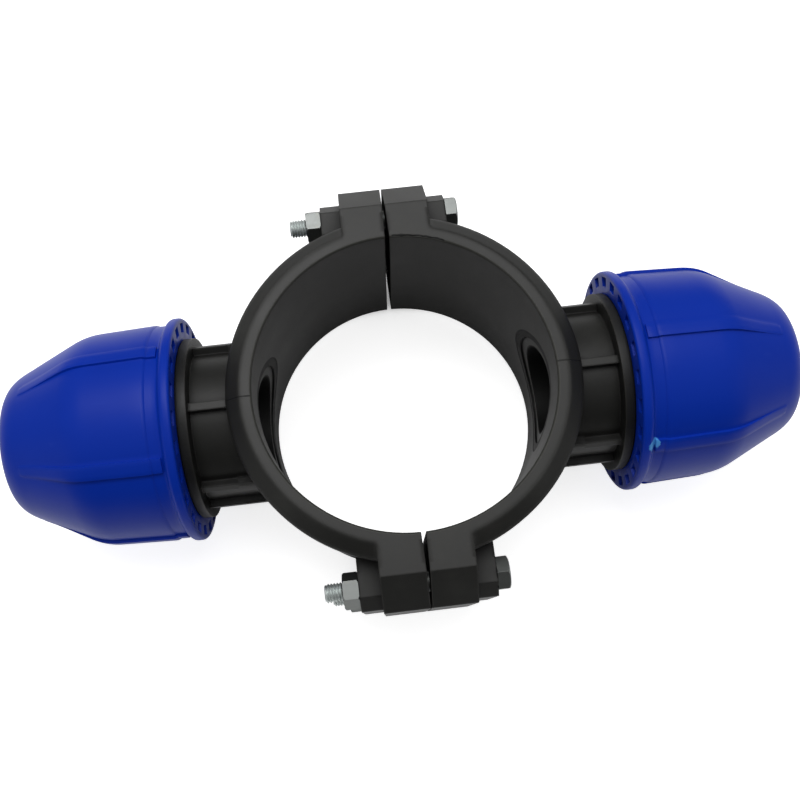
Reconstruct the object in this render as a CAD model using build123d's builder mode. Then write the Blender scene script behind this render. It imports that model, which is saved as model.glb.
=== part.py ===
from build123d import *
import os
from math import cos, radians, sin, sqrt

# Clamp saddle with two compression branches, in millimetres.
# Z is the axis of the run pipe, X the axis of both branches, and the two half shells part at X = 0.

# Run pipe and half shells
run_radius = 62.5
shell_length = 88.6
rim_face = 5.1
rim_height = 11.3
rim_bevel = 4.5
rim_width = 10.0
rear_rim_height = 7.4
rear_rim_width = 8.0
wall = 5.6
bore_edge_bevel = 0.7
split_gap_bore = 2.0
split_gap_edge = 0.7

# Bolting lugs, one on each side of the bore, with raised seats for the fasteners
lug_half_width = 19.0
lug_face_reach = 15.5
lug_reach = 29.1
lug_bevel_depth = 12.5
seat_distance = 28.0
seat_drop = 1.8
seat_half_length = 29.5
seat_bevel = 5.5

# Hexagon bolts and nuts
bolt_radius = 4.0
bolt_length = 70.0
bolt_hole_clearance = 0.5
bolt_reach = 18.3
bolt_half_spacing = 23.5
across_flats = 13.0
head_height = 5.3
hex_nut_height = 6.5
hex_nut_clearance = 0.05
hex_corner_bevel = 0.6
bolt_point = 0.8
bolt_head_angles = (0, 12, 30, 18)
hex_nut_angles = (0, 24, 0, 8)

# Neck, collar and spigot of each branch
neck_radius = 33.5
neck_rib_height = 3.3
neck_rib_width = 3.5
neck_rib_angles = (0, 60, 90, 120, 180, 240, 270, 300)
collar_position = 90.0
collar_thickness = 4.0
collar_radius = 40.4
spigot_length = 36.5
spigot_radius = 39.0

# Inside of each branch
branch_radius = 25.0
port_radius = 20.0
pipe_stop_setback = 5.5
socket_clearance = 0.3
socket_length = 24.0
chamber_radius = 30.6

# Gasket round each port
lip_width = 4.3
groove_width = 3.3
groove_depth = 3.5
lip_drop = 0.9
gasket_drop = 0.1
gasket_clearance = 0.1

# Rubber ring and bush
o_ring_section = 2.45
seat_gap = 0.15
bush_clearance = 0.3
bush_flange_thickness = 4.0
bush_flange_radius = 35.5

# Grip ring
grip_gap = 0.35
grip_length = 29.0
grip_clearance = 0.35
grip_tooth_pitch = 4.5
grip_tooth_depth = 1.2
grip_tooth_count = 6
grip_split = 6.0

# Compression nut, measured along the branch from its rear face
nut_gap = 0.5
nut_length = 76.3
flange_radius = 50.0
flange_length = 8.0
flange_round = 1.6
band_radius = 46.6
band_length = 4.0
barrel_radius = 47.8
knee_position = 41.5
knee_radius = 46.6
mouth_outer_radius = 33.0
mouth_position = 72.3
mouth_clearance = 0.8
mouth_lip = 4.5
thread_length = 45.0
thread_clearance = 0.4
cone_end_radius = 28.0
nut_rib_count = 6
nut_rib_height = 1.2
nut_rib_angle = 8.5
nut_rib_fade = 68.5
pocket_count = 24
pocket_wall = 2.6
pocket_floor_wall = 4.2
pocket_width = 6.0
pocket_depth = 7.0
right_nut_turn = 9.0
left_nut_turn = 30.0

# Sizes that follow from the ones above
half_length = shell_length / 2
wall_radius = run_radius + wall
rim_radius = run_radius + rim_height
rear_rim_radius = run_radius + rear_rim_height
rear_rim_bevel = rear_rim_height - rim_face
ring_core = run_radius - wall
lug_face_edge = run_radius + lug_face_reach
lug_outer = run_radius + lug_reach
seat_outer = lug_outer - seat_drop
seat_root = sqrt(run_radius**2 - seat_distance**2)
bolt_distance = run_radius + bolt_reach
neck_rib_radius = neck_radius + neck_rib_height
neck_root = sqrt(run_radius**2 - neck_rib_radius**2)
collar_end = collar_position + collar_thickness
spigot_end = collar_end + spigot_length
socket_radius = branch_radius + socket_clearance
pipe_stop = collar_position - pipe_stop_setback
chamber_start = pipe_stop + socket_length
groove_floor = run_radius + groove_depth
lip_radius = port_radius + lip_width
groove_radius = lip_radius + groove_width
o_ring_start = chamber_start + seat_gap
o_ring_end = o_ring_start + 2 * o_ring_section
bush_start = o_ring_end + seat_gap
bush_end = spigot_end + bush_flange_thickness
grip_start = bush_end + grip_gap
grip_end = grip_start + grip_length
nut_start = collar_end + nut_gap
nut_end = nut_start + nut_length
nut_bore = spigot_radius + thread_clearance
mouth_radius = branch_radius + mouth_clearance
cone_start = nut_start + thread_length
cone_end = nut_end - mouth_lip
cone_slope = (nut_bore - cone_end_radius) / (cone_end - cone_start)
across_corners = across_flats / cos(radians(30))
far = 2 * nut_end


def save(node, name):
    """Label a finished node and write it as one STEP file."""
    node.label = name
    export_step(node, f"parts/{name}.step")


def radial_plane(angle):
    """Plane that holds the branch axis, turned from +Z towards +Y about that axis."""
    return Plane(origin=(0, 0, 0), x_dir=(1, 0, 0), z_dir=(0, -cos(radians(angle)), sin(radians(angle))))


# Relief over each port: everything inside the branch lip down to a little below the bore
with BuildPart() as port_relief:
    with BuildSketch(Plane.XY):
        Circle(run_radius + lip_drop)
    extrude(amount=groove_radius, both=True)
    with BuildSketch(Plane.YZ):
        Circle(groove_radius)
    extrude(amount=groove_floor, mode=Mode.INTERSECT)

# Half shell on the +X side: half ring with a high front rim and a low rear one, two lugs with
# seats, ribbed neck, collar and spigot
with BuildPart() as right_shell:
    with BuildSketch(Plane.XZ):
        with BuildLine():
            Polyline(
                (ring_core, half_length),
                (run_radius + rim_face, half_length),
                (rim_radius, half_length - rim_bevel),
                (rim_radius, half_length - rim_width),
                (wall_radius, half_length - rim_width - (rim_radius - wall_radius)),
                (wall_radius, rear_rim_width + (rear_rim_radius - wall_radius) - half_length),
                (rear_rim_radius, rear_rim_width - half_length),
                (rear_rim_radius, rear_rim_bevel - half_length),
                (run_radius + rim_face, -half_length),
                (ring_core, -half_length),
                close=True,
            )
        make_face()
    revolve(axis=Axis.Z)

    for side in (1, -1):
        with BuildSketch(Plane.YZ):
            with BuildLine():
                Polyline(
                    (side * ring_core, half_length),
                    (side * lug_face_edge, half_length),
                    (side * lug_outer, half_length - lug_bevel_depth),
                    (side * lug_outer, 0),
                    (side * ring_core, 0),
                    close=True,
                )
            make_face()
            mirror(about=Plane.XZ)
        extrude(amount=lug_half_width)
        with BuildSketch(Plane.YZ):
            with BuildLine():
                Polyline(
                    (side * seat_root, seat_half_length),
                    (side * (seat_outer - seat_bevel), seat_half_length),
                    (side * seat_outer, seat_half_length - seat_bevel),
                    (side * seat_outer, 0),
                    (side * seat_root, 0),
                    close=True,
                )
            make_face()
            mirror(about=Plane.XZ)
        extrude(amount=seat_distance)

    with BuildSketch(Plane.YZ.offset(neck_root)):
        Circle(neck_radius)
        for angle in neck_rib_angles:
            with Locations(Location((0, 0, 0), (0, 0, 90 - angle))):
                Rectangle(neck_rib_radius, neck_rib_width, align=(Align.MIN, Align.CENTER))
    extrude(amount=collar_position - neck_root)
    with BuildSketch(Plane.YZ.offset(collar_position)):
        Circle(collar_radius)
    extrude(amount=collar_thickness)
    with BuildSketch(Plane.YZ.offset(collar_end)):
        Circle(spigot_radius)
    extrude(amount=spigot_length)

    # Branch passage: port, pipe socket and the chamber of the rubber ring and bush
    with BuildSketch(Plane.XY):
        with BuildLine():
            Polyline(
                (0, 0),
                (0, port_radius),
                (pipe_stop, port_radius),
                (pipe_stop, socket_radius),
                (chamber_start, socket_radius),
                (chamber_start, chamber_radius),
                (spigot_end, chamber_radius),
                (spigot_end, 0),
                close=True,
            )
        make_face()
    revolve(axis=Axis.X, mode=Mode.SUBTRACT)

    # Gasket groove round the port, and the lip between the two
    with BuildSketch(Plane.YZ):
        Circle(groove_radius)
        Circle(lip_radius, mode=Mode.SUBTRACT)
    extrude(amount=groove_floor, mode=Mode.SUBTRACT)
    add(port_relief.part, mode=Mode.SUBTRACT)

    # Bore of the run pipe with bevelled edges, and the bolt holes
    with BuildSketch(Plane.XZ):
        with BuildLine():
            Polyline(
                (0, half_length),
                (run_radius + bore_edge_bevel, half_length),
                (run_radius, half_length - bore_edge_bevel),
                (run_radius, 0),
                (0, 0),
                close=True,
            )
        make_face()
        mirror(about=Plane.XZ)
    revolve(axis=Axis.Z, mode=Mode.SUBTRACT)
    with BuildSketch(Plane.YZ):
        with GridLocations(2 * bolt_distance, 2 * bolt_half_spacing, 2, 2):
            Circle(bolt_radius + bolt_hole_clearance)
    extrude(amount=seat_distance, mode=Mode.SUBTRACT)

    # Parting gap, wider at the bore than at the outer ends of the lugs
    with BuildSketch(Plane.XY):
        with BuildLine():
            Polyline(
                (-far, 0),
                (split_gap_bore / 2, 0),
                (split_gap_bore / 2, run_radius),
                (split_gap_edge / 2, lug_outer),
                (-far, lug_outer),
                close=True,
            )
        make_face()
        mirror(about=Plane.XZ)
    extrude(amount=half_length, both=True, mode=Mode.SUBTRACT)

# Gasket: a ring in the groove, with its face shaped to the run pipe
with BuildPart() as right_gasket:
    with BuildSketch(Plane.YZ):
        Circle(groove_radius - gasket_clearance)
        Circle(lip_radius + gasket_clearance, mode=Mode.SUBTRACT)
    extrude(amount=groove_floor)
    with BuildSketch(Plane.XY):
        Circle(run_radius + gasket_drop)
    extrude(amount=groove_radius, both=True, mode=Mode.SUBTRACT)

# Rubber ring that seals the branch pipe
with BuildPart() as right_o_ring:
    with BuildSketch(Plane.XY):
        with Locations(((o_ring_start + o_ring_end) / 2, (socket_radius + chamber_radius) / 2)):
            Circle(o_ring_section)
    revolve(axis=Axis.X)

# Bush that presses on the rubber ring, seated on the end of the spigot
with BuildPart() as right_bush:
    with BuildSketch(Plane.XY):
        with BuildLine():
            Polyline(
                (bush_start, socket_radius),
                (bush_end, socket_radius),
                (bush_end, bush_flange_radius),
                (spigot_end, bush_flange_radius),
                (spigot_end, chamber_radius - bush_clearance),
                (bush_start, chamber_radius - bush_clearance),
                close=True,
            )
        make_face()
    revolve(axis=Axis.X)

# Split grip ring: toothed bore, outside coned to the inside of the nut
with BuildPart() as right_grip_ring:
    with BuildSketch(Plane.XY):
        with BuildLine():
            Polyline(
                (grip_start, socket_radius),
                (grip_start, nut_bore - grip_clearance),
                (cone_start, nut_bore - grip_clearance),
                (grip_end, nut_bore - cone_slope * (grip_end - cone_start) - grip_clearance),
                (grip_end, socket_radius),
                close=True,
            )
        make_face()
        for tooth in range(grip_tooth_count):
            root = grip_start + (tooth + 1) * grip_length / (grip_tooth_count + 1)
            with BuildLine():
                Polyline(
                    (root - grip_tooth_pitch / 2, socket_radius),
                    (root + grip_tooth_pitch / 2, socket_radius),
                    (root + grip_tooth_pitch / 2, socket_radius + grip_tooth_depth),
                    close=True,
                )
            make_face(mode=Mode.SUBTRACT)
    revolve(axis=Axis.X)
    with BuildSketch(Plane.XY.offset(-nut_bore)):
        with Locations(((grip_start + grip_end) / 2, 0)):
            Rectangle(grip_length, grip_split)
    extrude(amount=nut_bore, mode=Mode.SUBTRACT)


def compression_nut(turn):
    """Nut on the +X branch, with its first rib turned from +Z towards +Y."""
    knee = nut_start + knee_position
    band_end = nut_start + flange_length + band_length
    mouth_edge = nut_start + mouth_position
    mouth_drop = nut_end - mouth_edge
    fade = nut_start + nut_rib_fade
    cone_fall = (knee_radius - mouth_outer_radius) / (mouth_edge - knee)
    with BuildPart() as nut:
        # Outside: flange, band, barrel, cone and rounded mouth
        with BuildSketch(Plane.XY):
            with BuildLine():
                Polyline(
                    (nut_start, nut_bore),
                    (nut_start, flange_radius - flange_round),
                    (nut_start + flange_round, flange_radius),
                    (nut_start + flange_length, flange_radius),
                    (nut_start + flange_length, band_radius),
                    (band_end, band_radius),
                    (band_end, barrel_radius),
                    (knee, knee_radius),
                    (mouth_edge, mouth_outer_radius),
                )
                RadiusArc(
                    (mouth_edge, mouth_outer_radius),
                    (nut_end, mouth_outer_radius - mouth_drop),
                    -1.15 * mouth_drop,
                )
                Polyline(
                    (nut_end, mouth_outer_radius - mouth_drop),
                    (nut_end, mouth_radius),
                    (cone_end, mouth_radius),
                    (cone_end, cone_end_radius),
                    (cone_start, nut_bore),
                    (nut_start, nut_bore),
                )
            make_face()
        revolve(axis=Axis.X)

        # Raised ribs that follow the barrel and run out on the cone
        for rib in range(nut_rib_count):
            angle = turn + rib * 360 / nut_rib_count - nut_rib_angle / 2
            with BuildSketch(radial_plane(angle)):
                with BuildLine():
                    Polyline(
                        (band_end, nut_bore + nut_rib_height),
                        (band_end, barrel_radius + nut_rib_height),
                        (knee, knee_radius + nut_rib_height),
                        (fade, knee_radius - cone_fall * (fade - knee)),
                        (fade, nut_bore - cone_slope * (fade - cone_start) + nut_rib_height),
                        (cone_start, nut_bore + nut_rib_height),
                        close=True,
                    )
                make_face()
            revolve(axis=Axis.X, revolution_arc=-nut_rib_angle)

        # Lightening pockets in the rear face
        pocket_middle = (nut_bore + pocket_floor_wall + flange_radius - pocket_wall) / 2
        pocket_height = flange_radius - pocket_wall - nut_bore - pocket_floor_wall
        with BuildSketch(Plane.YZ.offset(nut_start)):
            with PolarLocations(pocket_middle, pocket_count):
                Rectangle(pocket_height, pocket_width)
        extrude(amount=pocket_depth, mode=Mode.SUBTRACT)
    return nut.part


def hex_body(plane, height, turn, both_ends):
    """Hexagon with its outer corners bevelled, standing on a plane."""
    with BuildPart() as hexagon:
        with BuildSketch(plane):
            Circle(across_corners / 2)
        extrude(amount=height)
        ends = hexagon.edges().filter_by(GeomType.CIRCLE)
        chamfer(ends if both_ends else ends.sort_by(Axis.X)[-1], hex_corner_bevel)
        with BuildSketch(plane):
            RegularPolygon(across_corners / 2, 6, rotation=turn)
        extrude(amount=height, mode=Mode.INTERSECT)
    return hexagon.part


right_pieces = {
    "shell": right_shell,
    "gasket": right_gasket,
    "o_ring": right_o_ring,
    "bush": right_bush,
    "grip_ring": right_grip_ring,
}
for name, piece in right_pieces.items():
    with BuildPart() as left_piece:
        mirror(piece.part, about=Plane.YZ)
    save(piece.part, f"right_{name}")
    save(left_piece.part, f"left_{name}")

save(compression_nut(right_nut_turn), "right_compression_nut")
with BuildPart() as left_compression_nut:
    mirror(compression_nut(left_nut_turn), about=Plane.YZ)
save(left_compression_nut.part, "left_compression_nut")

# Bolts enter from the +X side, and their nuts sit on the seats of the -X side
fasteners = {"top_front": (1, 1), "top_rear": (1, -1), "bottom_front": (-1, 1), "bottom_rear": (-1, -1)}
for (place, (up, front)), head_turn, nut_turn in zip(fasteners.items(), bolt_head_angles, hex_nut_angles):
    centre = (0, up * bolt_distance, front * bolt_half_spacing)
    head_plane = Plane(origin=centre, x_dir=(0, 1, 0), z_dir=(1, 0, 0)).offset(seat_distance)
    nut_plane = Plane(origin=centre, x_dir=(0, 1, 0), z_dir=(-1, 0, 0)).offset(seat_distance)
    with BuildPart() as bolt:
        add(hex_body(head_plane, head_height, head_turn, False))
        with BuildSketch(head_plane):
            Circle(bolt_radius)
        extrude(amount=-bolt_length)
        chamfer(bolt.edges().filter_by(GeomType.CIRCLE).sort_by(Axis.X)[0], bolt_point)
    save(bolt.part, f"bolt_{place}")
    with BuildPart() as hex_nut:
        add(hex_body(nut_plane, hex_nut_height, nut_turn, True))
        with BuildSketch(nut_plane):
            Circle(bolt_radius + hex_nut_clearance)
        extrude(amount=hex_nut_height, mode=Mode.SUBTRACT)
    save(hex_nut.part, f"hex_nut_{place}")
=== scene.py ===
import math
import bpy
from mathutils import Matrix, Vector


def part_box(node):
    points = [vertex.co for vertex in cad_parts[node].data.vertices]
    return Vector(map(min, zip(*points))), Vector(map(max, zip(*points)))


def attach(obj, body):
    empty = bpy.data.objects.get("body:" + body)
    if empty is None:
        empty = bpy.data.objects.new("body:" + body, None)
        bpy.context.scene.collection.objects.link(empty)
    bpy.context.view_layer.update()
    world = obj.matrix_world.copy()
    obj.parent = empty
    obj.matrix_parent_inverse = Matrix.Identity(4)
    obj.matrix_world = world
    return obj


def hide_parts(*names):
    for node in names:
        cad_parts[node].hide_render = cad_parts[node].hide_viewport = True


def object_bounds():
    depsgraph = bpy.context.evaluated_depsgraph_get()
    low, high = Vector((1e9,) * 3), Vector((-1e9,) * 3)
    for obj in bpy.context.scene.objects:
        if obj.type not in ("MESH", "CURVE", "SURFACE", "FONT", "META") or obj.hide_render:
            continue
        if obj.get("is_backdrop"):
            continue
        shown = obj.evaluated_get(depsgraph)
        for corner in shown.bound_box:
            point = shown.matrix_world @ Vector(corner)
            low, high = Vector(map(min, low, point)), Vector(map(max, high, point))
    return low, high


bl_info = {
    "name": "Twin branch clamp saddle",
    "version": (1, 0, 0),
    "blender": (4, 5, 0),
    "location": "View3D > Sidebar > Saddle",
    "description": "Dresses a clamp saddle for a run pipe, with two compression branches",
    "category": "Object",
}

import bmesh
import bpy
from mathutils import Vector

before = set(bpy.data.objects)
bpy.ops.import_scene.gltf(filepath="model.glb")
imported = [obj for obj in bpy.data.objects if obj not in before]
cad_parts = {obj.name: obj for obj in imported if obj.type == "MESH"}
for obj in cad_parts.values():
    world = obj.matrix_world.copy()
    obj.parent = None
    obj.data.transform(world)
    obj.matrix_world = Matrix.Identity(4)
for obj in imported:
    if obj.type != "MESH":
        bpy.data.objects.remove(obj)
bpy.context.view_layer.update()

SIDES = {"right": 1, "left": -1}

# The bolts, with how far each head is turned round, in degrees
BOLTS = {"top_front": 0, "top_rear": 12, "bottom_front": 30, "bottom_rear": 18}


# ---------------------------------------------------------------- sizes and colours


class SaddleSizes(bpy.types.PropertyGroup):
    """Sizes that the dressed saddle adds to the solids."""

    nut_steps: bpy.props.IntProperty(
        name="Nut Facets",
        description="Faces round each union nut",
        default=144,
        min=72,
    )
    rib_steps: bpy.props.IntProperty(
        name="Rib Facets",
        description="Faces across each rib of a union nut",
        default=3,
        min=1,
    )
    rib_height: bpy.props.FloatProperty(
        name="Rib Height",
        description="How far the ribs stand out of a union nut",
        default=0.0012,
        unit="LENGTH",
    )
    soft_edge: bpy.props.FloatProperty(
        name="Soft Edge",
        description="Rounding of the moulded edges of a union nut",
        default=0.0004,
        unit="LENGTH",
    )
    right_rib_angle: bpy.props.FloatProperty(
        name="Right Rib Angle",
        description="First rib of the right union nut, from +Z towards +Y",
        default=math.radians(9),
        subtype="ANGLE",
    )
    left_rib_angle: bpy.props.FloatProperty(
        name="Left Rib Angle",
        description="First rib of the left union nut, from +Z towards +Y",
        default=math.radians(30),
        subtype="ANGLE",
    )
    bolt_thread_pitch: bpy.props.FloatProperty(
        name="Bolt Pitch",
        description="Pitch of the bolt threads",
        default=0.00125,
        unit="LENGTH",
    )
    bolt_thread_length: bpy.props.FloatProperty(
        name="Bolt Thread",
        description="Length of thread on a bolt",
        default=0.022,
        unit="LENGTH",
    )
    spigot_thread_pitch: bpy.props.FloatProperty(
        name="Spigot Pitch",
        description="Pitch of the threads under the union nuts",
        default=0.006,
        unit="LENGTH",
    )


class SaddleColours(bpy.types.PropertyGroup):
    """Colours of the saddle's materials."""

    black: bpy.props.FloatVectorProperty(
        name="Black Plastic",
        description="Moulded black polypropylene",
        default=(0.010, 0.010, 0.0090),
        subtype="COLOR",
    )
    scuffed: bpy.props.FloatVectorProperty(
        name="Scuffed Black",
        description="Rubbed black polypropylene",
        default=(0.036, 0.036, 0.032),
        subtype="COLOR",
    )
    blue: bpy.props.FloatVectorProperty(
        name="Blue Plastic",
        description="Moulded blue polypropylene",
        default=(0.002, 0.034, 0.42),
        subtype="COLOR",
    )
    deep_blue: bpy.props.FloatVectorProperty(
        name="Deep Blue",
        description="Blue polypropylene where it is thick",
        default=(0.001, 0.022, 0.32),
        subtype="COLOR",
    )
    fleck: bpy.props.FloatVectorProperty(
        name="Fleck",
        description="Light blue fleck on the right nut",
        default=(0.08, 0.33, 0.75),
        subtype="COLOR",
    )
    rubber: bpy.props.FloatVectorProperty(
        name="Rubber",
        description="Black seals",
        default=(0.003, 0.003, 0.0033),
        subtype="COLOR",
    )
    acetal: bpy.props.FloatVectorProperty(
        name="Acetal",
        description="White grip rings",
        default=(0.72, 0.70, 0.62),
        subtype="COLOR",
    )
    zinc: bpy.props.FloatVectorProperty(
        name="Zinc",
        description="Bright zinc plate",
        default=(0.19, 0.20, 0.195),
        subtype="COLOR",
    )
    floor: bpy.props.FloatVectorProperty(
        name="Floor",
        description="Pale floor",
        default=(0.86, 0.86, 0.86),
        subtype="COLOR",
    )


# ---------------------------------------------------------------- materials


class Wire:
    """A node's output that takes part in sums as a number does."""

    def __init__(self, finish, socket):
        self.finish = finish
        self.socket = socket

    def __add__(self, other):
        return self.finish.number("ADD", self, other)

    def __radd__(self, other):
        return self.finish.number("ADD", other, self)

    def __sub__(self, other):
        return self.finish.number("SUBTRACT", self, other)

    def __rsub__(self, other):
        return self.finish.number("SUBTRACT", other, self)

    def __mul__(self, other):
        return self.finish.number("MULTIPLY", self, other)

    def __rmul__(self, other):
        return self.finish.number("MULTIPLY", other, self)

    def __gt__(self, other):
        return self.finish.number("GREATER_THAN", self, other)

    def __lt__(self, other):
        return self.finish.number("LESS_THAN", self, other)

    def __abs__(self):
        return self.finish.number("ABSOLUTE", self)


class Finish:
    """The nodes of a material or of the world, with the patterns that the finishes share."""

    def __init__(self, owner):
        owner.use_nodes = True
        self.owner = owner
        self.tree = owner.node_tree
        ends = ("BSDF_PRINCIPLED", "BACKGROUND")
        self.shader = next(node for node in self.tree.nodes if node.type in ends)

    def node(self, kind, settings=None, inputs=None, output=0):
        """Add a node: its settings first, then the values or wires of its sockets.

        It gives the wire of one output, or a list of wires for a tuple of outputs.
        """
        made = self.tree.nodes.new("ShaderNode" + kind)
        for key, value in (settings or {}).items():
            setattr(made, key, value)
        for key, value in (inputs or {}).items():
            self.join(made.inputs[key], value)
        if isinstance(output, tuple):
            return [Wire(self, made.outputs[key]) for key in output]
        return Wire(self, made.outputs[output])

    def join(self, socket, value):
        """Link a wire to a socket, or set the socket's value."""
        if isinstance(value, Wire):
            self.tree.links.new(value.socket, socket)
        elif hasattr(socket.default_value, "__len__") and len(socket.default_value) == 4:
            socket.default_value = (*value[:3], 1.0)
        else:
            socket.default_value = value

    def set(self, **sockets):
        """Set or link sockets of the shader, named with underscores for spaces."""
        for name, value in sockets.items():
            self.join(self.shader.inputs[name.replace("_", " ")], value)

    def number(self, operation, *inputs):
        """A number worked out from numbers."""
        return self.node("Math", {"operation": operation}, dict(enumerate(inputs)))

    def measure(self, operation, *inputs):
        """A number worked out from vectors."""
        return self.node("VectorMath", {"operation": operation}, dict(enumerate(inputs)), "Value")

    def colour(self, factor, first, second):
        """From the first colour at a factor of 0 to the second at 1."""
        # A Mix node's colours are its sockets 6 and 7, and its output 2
        return self.node("Mix", {"data_type": "RGBA"}, {0: factor, 6: first, 7: second}, 2)

    def place(self):
        return self.node("TexCoord", output="Object")

    def axes(self, vector):
        """The three coordinates of a vector."""
        return self.node("SeparateXYZ", None, {0: vector}, ("X", "Y", "Z"))

    def off_axis(self, first, second):
        """Distance from an axis, from the two coordinates that cross it."""
        return self.measure("LENGTH", self.node("CombineXYZ", None, {0: first, 1: second}))

    def noise(self, scale, detail=3.0, roughness=0.55, stretch=(1, 1, 1)):
        """Cloudy pattern between 0 and 1, with its size as blobs in a metre."""
        vector = self.node("Mapping", None, {"Vector": self.place(), "Scale": stretch})
        inputs = {"Vector": vector, "Scale": scale, "Detail": detail, "Roughness": roughness}
        return self.node("TexNoise", None, inputs)

    def between(self, value, low, high):
        """1 inside a band of a value and 0 outside it."""
        return (value > low) * (value < high)

    def step(self, value, low, high):
        """Rises smoothly from 0 at low to 1 at high."""
        inputs = {"Value": value, "From Min": low, "From Max": high}
        return self.node("MapRange", {"interpolation_type": "SMOOTHSTEP"}, inputs)

    def recess(self, reach, samples=4):
        """0 on open surfaces, rising to 1 down in grooves and corners."""
        return 1 - self.node("AmbientOcclusion", {"samples": samples}, {"Distance": reach}, "AO")

    def rounded_edge(self, radius):
        """Normals that round a moulded edge off, and how much of an edge each point is."""
        soft = self.node("Bevel", {"samples": 4}, {"Radius": radius})
        alike = self.measure("DOT_PRODUCT", soft, self.node("NewGeometry", output="Normal"))
        return soft, self.step(1 - alike, 0.02, 0.25)

    def bump(self, height, distance, strength, normal=None):
        """Normals of a relief, on the surface's own or on given normals."""
        inputs = {"Height": height, "Distance": distance, "Strength": strength}
        if normal is not None:
            inputs["Normal"] = normal
        return self.node("Bump", None, inputs)


def black_polypropylene(colours):
    """Satin black mouldings: fine grain, cloudy sheen, rubbed edges, parting lines, a nick, and
    painted shade in corners, ports and the rear of the bore.
    """
    # Radii round the run pipe's axis
    bore_bevel, bore_edge, bore_skin, gasket_seat = (0.06235, 0.06345), 0.0631, 0.0632, 0.0672
    rim_inside, rim_bevel, rim_outside = 0.063, 0.0655, 0.0745
    # Radii round the branches' axis
    port, gasket_groove = 0.0205, (0.0242, 0.0281)
    # Distances along the axes: where the ports' walls start, and where the rims and bevels do
    port_start, rim_start, bevel_start, front_edge = 0.05, 0.034, 0.0433, 0.0435

    skin = Finish(bpy.data.materials.new("black polypropylene"))
    x, y, z = skin.axes(skin.place())
    reach = skin.off_axis(x, y)
    across = skin.off_axis(y, z)

    # The rims' bevels are rounder than the other edges
    rim = (reach > rim_bevel) * (abs(x) < rim_outside) * (abs(y) < rim_outside)
    soft, edge = skin.rounded_edge(0.0010 + rim * 0.0020)

    # Painted shade: darker in corners and grooves (from ambient occlusion), in the ports, in the
    # gaskets' grooves and towards the rear of the bore
    port_shade = (across < port) * (abs(x) > port_start)
    port_shade = port_shade + skin.between(across, *gasket_groove) * (reach < gasket_seat)
    bore_rear_shade = (reach < bore_skin) * skin.step(z, 0.0, -0.05) * 0.6
    painted_shade = skin.step(skin.recess(0.02), 0.15, 0.75) + port_shade + bore_rear_shade
    painted_shade = skin.number("MINIMUM", painted_shade, 1.0)

    cloud = skin.noise(38, 4, 0.6)
    streak = skin.noise(60, 3, 0.6, (1, 1, 0.12))
    grain = skin.noise(2600, 2, 0.5)

    # Parting lines of the mould, across the rims in the plane of the branches
    wander = (skin.noise(120, 2) - 0.5) * 0.0006
    line = 1 - skin.step(abs(y + wander), 0.00008, 0.0003)
    line = line * skin.between(abs(x), rim_inside, rim_outside) * (abs(z) > rim_start)

    # A nick along the front edge of the bore, beside the upper parting gap
    ragged = (skin.noise(420, 3) - 0.5) * 0.0012
    nick = 1 - skin.step(abs(reach - bore_edge + ragged), 0.0001, 0.0005)
    nick = nick * skin.between(x, 0.002, 0.024) * (y > 0) * (z > front_edge)

    # Paler places: pale scratches, rubbed edges, and the bevel of the bore
    scratch = skin.step(skin.noise(210, 2, 0.4, (1, 9, 1)), 0.74, 0.80)
    pale_bore_bevel = skin.between(reach, *bore_bevel) * (abs(z) > bevel_start)
    paler = skin.step(cloud, 0.45, 0.8) * 0.35 + edge * 0.5 + scratch * 0.35
    paler = paler + streak * 0.12 + pale_bore_bevel * 1.2

    dark = skin.number("MAXIMUM", line * 0.75, nick)
    base = skin.colour(paler, colours.black, colours.scuffed)
    base = skin.colour(dark, base, (0.002, 0.002, 0.002))
    # Painted shade: corners, ports, grooves and the rear of the bore are darkened nearly to black
    base = skin.colour(painted_shade * 0.9, base, (0.001, 0.001, 0.001))
    skin.set(
        Base_Color=base,
        Roughness=0.31 + cloud * 0.16 + edge * 0.06 + grain * 0.05 + painted_shade * 0.2,
        Specular_IOR_Level=0.32,
        Normal=skin.bump(grain * 0.25 + cloud * 1.2 - dark * 4.0, 0.00012, 0.5, soft),
    )
    return skin.owner


def blue_polypropylene(colours, fleck=None):
    """Glossy blue mouldings: sink marks under the gloss, swirls, dust, and a fleck at a point."""
    skin = Finish(bpy.data.materials.new("blue polypropylene"))
    cloud = skin.noise(22, 3, 0.5)
    swirl = skin.noise(55, 4, 0.65, (0.25, 1, 1))
    grain = skin.noise(1900, 2, 0.5)
    rub = skin.step(skin.noise(150, 3, 0.5, (0.2, 1, 1)), 0.66, 0.82)
    base = skin.colour(cloud * 0.6 + swirl * 0.3, colours.blue, colours.deep_blue)
    base = skin.colour(rub * 0.10, base, (0.05, 0.10, 0.50))
    height = swirl * 0.5 + grain * 0.06
    if fleck is not None:
        ragged = (skin.noise(480, 3) - 0.5) * 0.0030
        away = skin.measure("DISTANCE", skin.place(), fleck) + ragged
        mark = 1 - skin.step(away, 0.0024, 0.0031)
        base = skin.colour(mark, base, colours.fleck)
        height = height + mark * 1.5
    skin.set(
        Base_Color=base,
        Roughness=0.30 + cloud * 0.08 + rub * 0.12 + grain * 0.04,
        Specular_IOR_Level=0.12,
        Normal=skin.bump(height, 0.00018, 0.35),
    )
    return skin.owner


def seal_rubber(colours):
    """Dull black seals with a bloom and fine tooth marks of the mould."""
    skin = Finish(bpy.data.materials.new("seal rubber"))
    bloom = skin.noise(90, 4, 0.6)
    grain = skin.noise(3200, 2)
    bloomed = skin.step(bloom, 0.5, 0.85) * 0.5
    skin.set(
        Base_Color=skin.colour(bloomed, colours.rubber, (0.014, 0.014, 0.015)),
        Roughness=0.5 + bloom * 0.2,
        Specular_IOR_Level=0.3,
        Normal=skin.bump(grain * 0.3 + bloom, 0.0001, 0.4),
    )
    return skin.owner


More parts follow.
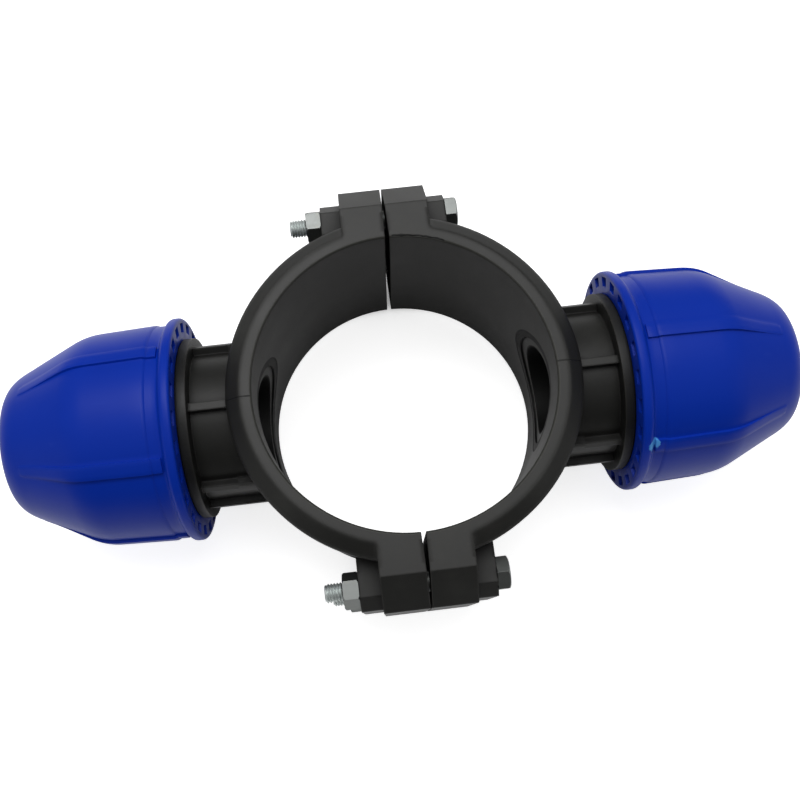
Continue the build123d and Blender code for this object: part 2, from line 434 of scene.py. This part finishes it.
def white_acetal(colours):
    """Milky white grip rings."""
    skin = Finish(bpy.data.materials.new("white acetal"))
    cloud = skin.noise(70, 3)
    grain = skin.noise(2400, 2)
    skin.set(
        Base_Color=skin.colour(cloud * 0.5, colours.acetal, (0.60, 0.57, 0.47)),
        Roughness=0.38 + cloud * 0.1,
        Normal=skin.bump(grain, 0.00005, 0.3),
    )
    return skin.owner


def zinc_plate(colours):
    """Bright zinc plate: rolled marks along the bolt, small stains, a faint yellow cast, and
    painted light on the bolts' threaded points.
    """
    skin = Finish(bpy.data.materials.new("zinc plate"))
    rolled = skin.noise(700, 3, 0.6, (0.15, 1, 1))
    stain = skin.noise(330, 4, 0.6)
    soft, edge = skin.rounded_edge(0.0002)
    # Painted light: the bolts' threaded points are made brighter than the hexagon nuts, standing
    # in for the light that their threads catch
    along = skin.axes(skin.place())[0]
    point = skin.step(along, -0.0344, -0.0352)
    base = skin.colour(skin.step(stain, 0.55, 0.8) * 0.45, colours.zinc, (0.26, 0.25, 0.21))
    base = skin.colour(edge * 0.3, base, (0.58, 0.59, 0.59))
    # Painted light: brighter colour on the threaded points
    base = skin.colour(point, base, (0.62, 0.66, 0.65))
    skin.set(
        Base_Color=base,
        Metallic=1.0,
        Roughness=0.30 + rolled * 0.14 + stain * 0.1 + point * 0.15,
        Normal=skin.bump(rolled + stain * 0.5, 0.00003, 0.35, soft),
    )
    return skin.owner


def pale_floor(colours):
    """White where it is seen straight, with a painted shadow under the object, and a painted pool
    of light in its gloss.
    """
    skin = Finish(bpy.data.materials.new("pale floor"))
    rays = ("Is Camera Ray", "Is Glossy Ray", "Is Transmission Ray")
    seen, glossy, through = skin.node("LightPath", output=rays)
    # Painted shadow: where the object hems the floor in, the floor is painted dark grey and its
    # glow is cut
    open_floor = skin.step(skin.recess(0.03, 12), 0.90, 0.50)
    # Painted shade in the gloss: the mirrored glow fades where the object shades the floor
    lit_floor = skin.step(skin.recess(0.25), 0.75, 0.1)
    # Painted pool of light: the mirrored glow is brightest in a band along X through the object,
    # and dim to the front and back
    sideways = skin.axes(skin.place())[1]
    painted_light_pool = 0.5 - skin.step(abs(sideways), 0.15, 0.6) * 0.42
    mirrored = skin.number("MAXIMUM", glossy, through) * lit_floor * painted_light_pool
    glow = skin.number("MAXIMUM", seen * open_floor, mirrored)
    skin.set(
        # Painted shadow: dark grey where the object hems the floor in
        Base_Color=skin.colour(open_floor, (0.30, 0.30, 0.30), colours.floor),
        Roughness=0.8,
        Specular_IOR_Level=0.1,
        Emission_Color=skin.colour(glow, (0, 0, 0), (0.76, 0.76, 0.76)),
        Emission_Strength=1.0,
    )
    return skin.owner


def light_room():
    """A dim room, brighter overhead and at the sides, and white where it is seen straight."""
    sky = Finish(bpy.data.worlds.new("surroundings"))
    x, y, z = sky.axes(sky.node("TexCoord", output="Generated"))
    bright = sky.step(z + y * 0.25 + abs(x) * 0.35, 0.15, 1.1)
    room = sky.colour(bright, (0.03, 0.03, 0.03), (0.50, 0.50, 0.50))
    seen = sky.node("LightPath", output="Is Camera Ray")
    sky.set(Color=sky.colour(seen, room, (1, 1, 1)), Strength=1.0)
    return sky.owner


def wear(piece, material):
    """Give a piece or CAD node one material, in its slots."""
    if not piece.material_slots:
        piece.data.materials.append(material)
    for slot in piece.material_slots:
        slot.material = material


# ---------------------------------------------------------------- modelling by hand


def clear():
    """Object mode with nothing selected."""
    if bpy.context.object is not None and bpy.context.object.mode != "OBJECT":
        bpy.ops.object.mode_set(mode="OBJECT")
    bpy.ops.object.select_all(action="DESELECT")


def choose(piece):
    """Select one piece alone and make it the active one."""
    clear()
    bpy.context.view_layer.objects.active = piece
    piece.select_set(True)


def fix():
    """Apply the place, turn and size of the selected piece to its mesh."""
    bpy.ops.object.transform_apply(location=True, rotation=True, scale=True)


def pick_faces(piece, test):
    """In edit mode, select the faces whose middle and normal pass a test."""
    bpy.ops.mesh.select_all(action="DESELECT")
    bpy.ops.mesh.select_mode(type="FACE")
    mesh = bmesh.from_edit_mesh(piece.data)
    found = 0
    for face in mesh.faces:
        if test(face.calc_center_median(), face.normal):
            face.select_set(True)
            found += 1
    mesh.select_flush(True)
    bmesh.update_edit_mesh(piece.data)
    if not found:
        raise RuntimeError(f"no face of {piece.name} passes the test")


def turned(name, profile, steps, closed, phase=0.0):
    """Turn a profile of (height, radius) about Z: a circle, extruded and resized ring by ring.

    A closed profile ends where it starts, and an open one gets a flat face at each end.
    """
    clear()
    height, radius = profile[0]
    bpy.ops.mesh.primitive_circle_add(
        vertices=steps, radius=radius, location=(0, 0, height), rotation=(0, 0, phase)
    )
    piece = bpy.context.object
    piece.name = piece.data.name = name
    fix()
    bpy.ops.object.mode_set(mode="EDIT")
    bpy.ops.mesh.select_mode(type="VERT")
    bpy.ops.mesh.select_all(action="SELECT")
    for new_height, new_radius in profile[1:]:
        rise = {"value": (0, 0, new_height - height)}
        bpy.ops.mesh.extrude_region_move(TRANSFORM_OT_translate=rise)
        factor = new_radius / radius
        bpy.ops.transform.resize(value=(factor, factor, 1), center_override=(0, 0, new_height))
        height, radius = new_height, new_radius
    bpy.ops.mesh.select_all(action="SELECT")
    bpy.ops.mesh.remove_doubles(threshold=0.000005)
    if not closed:
        bpy.ops.mesh.select_all(action="DESELECT")
        bpy.ops.mesh.select_mode(type="EDGE")
        bpy.ops.mesh.select_non_manifold()
        bpy.ops.mesh.edge_face_add()
        bpy.ops.mesh.select_all(action="SELECT")
    bpy.ops.mesh.normals_make_consistent(inside=False)
    bpy.ops.object.mode_set(mode="OBJECT")
    return piece


def set_radius(vertex, radius):
    """Move a vertex straight in or out, to a radius round Z."""
    factor = radius / vertex.co.xy.length
    vertex.co.x *= factor
    vertex.co.y *= factor


def thread_phase(point, pitch):
    """How far through its turn of a thread round Z a point is, from 0 to 1."""
    turn = math.atan2(point.y, point.x) / math.tau
    return (point.z / pitch - turn) % 1.0


def lay(piece, sign, place):
    """Turn a piece made along Z on to +X or -X, move it to its place and fix it there."""
    choose(piece)
    piece.rotation_euler = (0, sign * math.pi / 2, 0)
    piece.location = place
    fix()


def smooth(angle):
    """Shade the selected piece smooth, but for edges sharper than an angle in degrees."""
    bpy.ops.object.shade_smooth_by_angle(angle=math.radians(angle))


def settle(piece, material, slot, body, *nodes):
    """Last steps of a new piece: its material, its body and the nodes it stands for. The slot is
    not used.
    """
    wear(piece, material)
    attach(piece, body)
    if nodes:
        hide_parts(*nodes)


def arc(centre, radius, start, end, count):
    """Points round part of a circle in a profile, in degrees from the height axis."""
    points = []
    for step in range(count + 1):
        angle = math.radians(start + (end - start) * step / count)
        across = (radius * math.cos(angle), radius * math.sin(angle))
        points.append((centre[0] + across[0], centre[1] + across[1]))
    return points


def eased(before, corner, after, count):
    """Points of a smooth bend from one profile point to another, past a corner."""
    points = []
    for step in range(count + 1):
        t = step / count
        points.append(
            tuple(
                (1 - t) ** 2 * a + 2 * t * (1 - t) * b + t**2 * c
                for a, b, c in zip(before, corner, after)
            )
        )
    return points


# ---------------------------------------------------------------- operators


class SADDLE_OT_shells(bpy.types.Operator):
    """Finish the two half shells and the bushes as satin black mouldings"""

    bl_idname = "saddle.shells"
    bl_label = "Half Shells"

    def execute(self, context):
        black = black_polypropylene(context.scene.saddle_colours)
        for side in SIDES:
            for part in ("shell", "bush"):
                wear(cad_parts[f"{side}_{part}"], black)
        return {"FINISHED"}


class SADDLE_OT_seals(bpy.types.Operator):
    """Finish the port gaskets and the branch seals in rubber, and the grip rings in acetal"""

    bl_idname = "saddle.seals"
    bl_label = "Seals and Grip Rings"

    def execute(self, context):
        rubber = seal_rubber(context.scene.saddle_colours)
        acetal = white_acetal(context.scene.saddle_colours)
        for side in SIDES:
            wear(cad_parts[f"{side}_gasket"], rubber)
            wear(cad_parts[f"{side}_o_ring"], rubber)
            wear(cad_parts[f"{side}_grip_ring"], acetal)
        return {"FINISHED"}


class SADDLE_OT_spigot_threads(bpy.types.Operator):
    """Wind a thread round each spigot, under its union nut"""

    bl_idname = "saddle.spigot_threads"
    bl_label = "Spigot Threads"

    # The sleeve that carries the thread: its length, its faces along and round it, its radii,
    # how far the thread runs out at each end, and how far from the spigot's end it starts
    length = 0.0335
    rings, facets = 84, 96
    inside, core, crest = 0.0375, 0.03885, 0.03936
    run_out = 0.004
    setback = 0.0350

    def execute(self, context):
        pitch = context.scene.saddle_sizes.spigot_thread_pitch
        black = bpy.data.materials["black polypropylene"]
        outline = [(self.length * k / self.rings, self.core) for k in range(self.rings + 1)]
        outline += [(self.length, self.inside), (0, self.inside), (0, self.core)]
        for side, sign in SIDES.items():
            low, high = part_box(f"{side}_shell")
            start = max(abs(low.x), abs(high.x)) - self.setback
            piece = turned(f"{side}_spigot_thread", outline, self.facets, True)
            for vertex in piece.data.vertices:
                if vertex.co.xy.length > self.inside + 0.0005:
                    set_radius(vertex, self.thread_radius(vertex.co, pitch))
            lay(piece, sign, (sign * start, 0, 0))
            smooth(40)
            settle(piece, black, "black_pp", f"{side}_half")
        return {"FINISHED"}

    def thread_radius(self, point, pitch):
        """Radius of a flat-topped thread that runs out at both ends."""
        phase = thread_phase(point, pitch)
        ridge = min(1.0, max(0.0, 1.6 - abs(phase - 0.5) * 5.0))
        fade = min(1.0, point.z / self.run_out, (self.length - point.z) / self.run_out)
        return self.core + (self.crest - self.core) * ridge * max(0.0, fade)


class SADDLE_OT_union_nuts(bpy.types.Operator):
    """Model the union nuts: flange, shallow band, barrel, cone, mouth, ribs and rear pockets"""

    bl_idname = "saddle.union_nuts"
    bl_label = "Union Nuts"

    # Radii of a nut, and heights above its rear face
    bore, band, mouth = 0.0394, 0.0472, 0.0258
    barrel, barrel_start = 0.0478, 0.012
    knee, knee_height = 0.0466, 0.0415
    pocket_inside, pocket_outside, pocket_depth = 0.0436, 0.0478, 0.0042
    pockets, ribs = 24, 6
    rib_start = 0.0060

    def profile(self, reach, flange):
        """Closed profile of a nut along its axis, from its rear face."""
        edge, flange_edge = 0.0007, 0.0012
        front, front_radius = reach - 0.0050, 0.0324
        cone_start, cone_end, cone_radius = 0.045, reach - 0.0045, 0.028
        barrel_fall = (self.barrel - self.knee) / (self.knee_height - self.barrel_start)
        cone_fall = (self.knee - front_radius) / (front - self.knee_height)

        def on_barrel(height):
            return (height, self.barrel - barrel_fall * (height - self.barrel_start))

        def on_cone(height):
            return (height, self.knee - cone_fall * (height - self.knee_height))

        # Rear face, with a ring of faces for the pockets, and the flange
        outline = [
            (edge, self.bore),
            (0.0, self.bore + edge),
            (0.0, self.pocket_inside),
            (0.0, self.pocket_outside),
            (0.0, flange - flange_edge),
        ]
        outline += arc((flange_edge, flange - flange_edge), flange_edge, 180, 90, 4)[1:]
        shoulder = (0.0049, flange - 0.0016)
        outline += eased((0.0030, flange), (0.0042, flange - 0.0001), shoulder, 4)
        # Shallow band and barrel
        outline += eased(shoulder, (0.0054, self.band), (0.0062, self.band), 3)[1:]
        outline += [(0.0080, self.band), (0.0098, self.band)]
        outline += eased((0.0104, self.band), (0.0110, self.barrel), on_barrel(0.0122), 4)
        outline += [on_barrel(height) for height in (0.018, 0.023, 0.028, 0.032)]
        # Knee, cone and mouth
        outline += eased(on_barrel(0.0355), (self.knee_height, self.knee), on_cone(0.0470), 8)
        outline += [on_cone(height) for height in (0.051, 0.055, 0.059, 0.063, 0.066)]
        turn_in = (front + 0.0032, front_radius - 0.0012)
        outline += eased(on_cone(front - 0.0040), turn_in, (reach, self.mouth + 0.0024), 8)
        lip = (reach, self.mouth + 0.0002)
        outline += eased((reach, self.mouth + 0.0012), lip, (reach - 0.0008, self.mouth), 3)
        # Inside: the cone that closes the grip ring, and the bore
        outline += [(cone_end, self.mouth), (cone_end, cone_radius), (cone_start, self.bore)]
        outline += [(edge, self.bore)]
        return outline

    def model(self, sizes, side, sign, angle, material):
        low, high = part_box(f"{side}_compression_nut")
        start = min(abs(low.x), abs(high.x))
        reach = max(abs(low.x), abs(high.x)) - start
        step = math.tau / sizes.nut_steps
        half_rib = step * sizes.rib_steps / 2
        first = math.pi - angle if sign > 0 else angle
        outline = self.profile(reach, (high.y - low.y) / 2)
        piece = turned(f"{side}_union_nut", outline, sizes.nut_steps, True, first + half_rib)
        rib_end = reach - 0.009
        rib_spacing = math.tau / self.ribs
        pocket_spacing = sizes.nut_steps / self.pockets

        def on_rib(middle, normal):
            radial = Vector((middle.x, middle.y, 0)).normalized()
            turn = math.atan2(middle.y, middle.x) - first + rib_spacing / 2
            return (
                self.rib_start < middle.z < rib_end
                and normal.dot(radial) > 0.3
                and abs(turn % rib_spacing - rib_spacing / 2) < half_rib
            )

        def in_pocket(middle, normal):
            turn = (math.atan2(middle.y, middle.x) - first - half_rib) / step
            return (
                normal.z < -0.9
                and self.pocket_inside < middle.xy.length < self.pocket_outside
                and turn % pocket_spacing < pocket_spacing / 2
            )

        # Ribs: strips of the outside, raised, then run out along the cone
        bpy.ops.object.mode_set(mode="EDIT")
        pick_faces(piece, on_rib)
        raised = {"value": sizes.rib_height}
        bpy.ops.mesh.extrude_region_shrink_fatten(TRANSFORM_OT_shrink_fatten=raised)
        mesh = bmesh.from_edit_mesh(piece.data)
        for vertex in mesh.verts:
            if vertex.select:
                past = (vertex.co.z - self.knee_height) / (rib_end - 0.002 - self.knee_height)
                past = min(1.0, max(0.0, past))
                drop = sizes.rib_height * past * past * (3 - 2 * past)
                set_radius(vertex, vertex.co.xy.length - drop)
        bmesh.update_edit_mesh(piece.data)

        # Pockets: faces of the rear, pushed into the nut
        pick_faces(piece, in_pocket)
        pushed = {"value": (0, 0, self.pocket_depth)}
        bpy.ops.mesh.extrude_region_move(TRANSFORM_OT_translate=pushed)
        bpy.ops.mesh.select_all(action="SELECT")
        bpy.ops.mesh.remove_doubles(threshold=0.00002)
        bpy.ops.object.mode_set(mode="OBJECT")

        bevel = piece.modifiers.new("soft edges", "BEVEL")
        bevel.width = sizes.soft_edge
        bevel.segments = 2
        bevel.limit_method = "ANGLE"
        bevel.angle_limit = math.radians(38)
        bpy.ops.object.modifier_apply(modifier=bevel.name)
        lay(piece, sign, (sign * start, 0, 0))
        smooth(32)
        settle(piece, material, "blue_pp", f"{side}_nut", f"{side}_compression_nut")

    def execute(self, context):
        sizes = context.scene.saddle_sizes
        colours = context.scene.saddle_colours
        # The fleck is on the right nut, where its flange runs into the band
        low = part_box("right_compression_nut")[0]
        turn, radius = math.radians(-49), 0.0484
        fleck = (low.x + 0.0050, radius * math.sin(turn), radius * math.cos(turn))
        self.model(sizes, "right", 1, sizes.right_rib_angle, blue_polypropylene(colours, fleck))
        self.model(sizes, "left", -1, sizes.left_rib_angle, blue_polypropylene(colours))
        return {"FINISHED"}


class SADDLE_OT_bolts(bpy.types.Operator):
    """Model the four hexagon bolts with their threads, and plate the hexagon nuts"""

    bl_idname = "saddle.bolts"
    bl_label = "Bolts and Hexagon Nuts"

    # Radius of the shank, height and width across flats of the head, and depth of the thread
    radius = 0.004
    head_height, flats = 0.0053, 0.013
    thread_depth = 0.00072

    def head(self, name, angle):
        """A hexagonal prism, cut by a turned blank that bevels its corners, with a dished top."""
        corner = self.flats / math.sqrt(3)
        clear()
        bpy.ops.mesh.primitive_cylinder_add(
            vertices=6,
            radius=corner,
            depth=self.head_height,
            location=(0, 0, self.head_height / 2),
            rotation=(0, 0, math.radians(angle)),
        )
        head = bpy.context.object
        head.name = head.data.name = name
        fix()
        outline = [
            (-0.001, corner + 0.001),
            (self.head_height - 0.0009, corner + 0.00005),
            (self.head_height + 0.00002, 0.0060),
        ]
        blank = turned("blank", outline, 48, False)
        choose(head)
        cut = head.modifiers.new("corner bevel", "BOOLEAN")
        cut.operation = "INTERSECT"
        cut.solver = "EXACT"
        cut.object = blank
        bpy.ops.object.modifier_apply(modifier=cut.name)
        bpy.data.objects.remove(blank)
        choose(head)
        bpy.ops.object.mode_set(mode="EDIT")
        pick_faces(head, lambda middle, normal: normal.z > 0.95)
        bpy.ops.mesh.inset(thickness=0.0016, depth=0)
        bpy.ops.mesh.inset(thickness=0.0004, depth=-0.00012)
        bpy.ops.object.mode_set(mode="OBJECT")
        return head

    def shank(self, length, threaded, pitch):
        """Plain under the head, and threaded to a bevelled point."""
        radius, plain = self.radius, length - threaded
        rings = int(threaded / pitch * 6)
        run = length - plain - 0.0002
        outline = [(-0.0002, radius), (plain * 0.5, radius), (plain, radius)]
        outline += [(plain + run * k / rings, radius) for k in range(1, rings)]
        outline += [(length - 0.0001, radius * 0.8), (length, radius * 0.76)]
        shank = turned("shank", outline, 32, False)
        for vertex in shank.data.vertices:
            height = vertex.co.z
            if height > plain + 0.0001 and vertex.co.xy.length > radius * 0.9:
                groove = self.thread_depth * abs(2 * thread_phase(vertex.co, pitch) - 1)
                run_in = min(1.0, (height - plain) / 0.001)
                point = max(0.0, height - (length - 0.0009)) * 0.9
                set_radius(vertex, radius - groove * run_in - point)
        return shank

    def bolt(self, sizes, place, angle, zinc):
        low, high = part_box(f"bolt_{place}")
        centre = (low + high) / 2
        under_head = high.x - self.head_height
        seat = (under_head, centre.y, centre.z)
        head = self.head(f"{place}_bolt", angle)
        lay(head, 1, seat)
        pitch, threaded = sizes.bolt_thread_pitch, sizes.bolt_thread_length
        shank = self.shank(under_head - low.x, threaded, pitch)
        lay(shank, -1, seat)
        head.select_set(True)
        bpy.context.view_layer.objects.active = head
        bpy.ops.object.join()
        smooth(25)
        settle(head, zinc, "zinc_steel", "right_half", f"bolt_{place}")

    def execute(self, context):
        zinc = zinc_plate(context.scene.saddle_colours)
        for place, angle in BOLTS.items():
            self.bolt(context.scene.saddle_sizes, place, angle, zinc)
            wear(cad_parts[f"hex_nut_{place}"], zinc)
        return {"FINISHED"}


class SADDLE_OT_stage(bpy.types.Operator):
    """Set the pale floor, the soft lights, the surroundings and the camera"""

    bl_idname = "saddle.stage"
    bl_label = "Stage"

    # Width of the floor, and how far it lies under the shells
    floor_size, floor_gap = 14, 0.0002

    # Where each round lamp is, its width and its power in watts. All face the object.
    lamps = {
        "window": ((-0.35, 0.60, 1.30), 0.70, 4.0),
        "ceiling": ((0.10, 0.46, 1.46), 1.10, 8.5),
        "doorway": ((1.20, -0.45, 0.50), 0.90, 0.6),
        "far wall": ((-1.20, -0.45, 0.45), 0.90, 0.6),
    }

    # Where the camera is, and how it is turned, in degrees
    eye_place = (-0.01415, -0.09836, 0.39309)
    eye_turn = (14.483, -0.104, -6.739)

    def lay_floor(self, scene):
        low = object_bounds()[0]
        clear()
        bpy.ops.mesh.primitive_plane_add(size=1, location=(0, 0, low.z - self.floor_gap))
        floor = bpy.context.object
        floor.name = "floor"
        bpy.ops.transform.resize(value=(self.floor_size, self.floor_size, 1))
        fix()
        wear(floor, pale_floor(scene.saddle_colours))
        floor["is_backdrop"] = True

    def hang_lamps(self, scene):
        for name, (where, width, power) in self.lamps.items():
            light = bpy.data.lights.new(name, "AREA")
            light.shape = "DISK"
            light.size = width
            light.energy = power
            lamp = bpy.data.objects.new(name, light)
            lamp.location = where
            lamp.rotation_euler = Vector(where).to_track_quat("Z", "Y").to_euler()
            scene.collection.objects.link(lamp)

    def set_camera(self, scene):
        camera = bpy.data.cameras.new("camera")
        camera.lens = 40.09
        camera.sensor_width = 36
        camera.clip_start = 0.01
        eye = bpy.data.objects.new("camera", camera)
        eye.location = self.eye_place
        eye.rotation_euler = [math.radians(angle) for angle in self.eye_turn]
        scene.collection.objects.link(eye)
        scene.camera = eye

    def execute(self, context):
        scene = context.scene
        self.lay_floor(scene)
        self.hang_lamps(scene)
        scene.world = light_room()
        self.set_camera(scene)
        scene.view_settings.view_transform = "Standard"
        return {"FINISHED"}


OPERATORS = (
    SADDLE_OT_shells,
    SADDLE_OT_seals,
    SADDLE_OT_spigot_threads,
    SADDLE_OT_union_nuts,
    SADDLE_OT_bolts,
    SADDLE_OT_stage,
)


class SADDLE_PT_tools(bpy.types.Panel):
    """Pieces of the clamp saddle"""

    bl_idname = "SADDLE_PT_tools"
    bl_label = "Clamp Saddle"
    bl_space_type = "VIEW_3D"
    bl_region_type = "UI"
    bl_category = "Saddle"

    def draw(self, context):
        for operator in OPERATORS:
            self.layout.operator(operator.bl_idname)
        for group in (context.scene.saddle_sizes, context.scene.saddle_colours):
            box = self.layout.box()
            for name in group.__annotations__:
                box.prop(group, name)


CLASSES = (SaddleSizes, SaddleColours, *OPERATORS, SADDLE_PT_tools)


def register():
    for each in CLASSES:
        bpy.utils.register_class(each)
    bpy.types.Scene.saddle_sizes = bpy.props.PointerProperty(type=SaddleSizes)
    bpy.types.Scene.saddle_colours = bpy.props.PointerProperty(type=SaddleColours)


def unregister():
    del bpy.types.Scene.saddle_colours
    del bpy.types.Scene.saddle_sizes
    for each in reversed(CLASSES):
        bpy.utils.unregister_class(each)


def main():
    register()
    bpy.ops.saddle.shells()
    bpy.ops.saddle.seals()
    bpy.ops.saddle.spigot_threads()
    bpy.ops.saddle.union_nuts()
    bpy.ops.saddle.bolts()
    bpy.ops.saddle.stage()


if __name__ == "__main__":
    main()
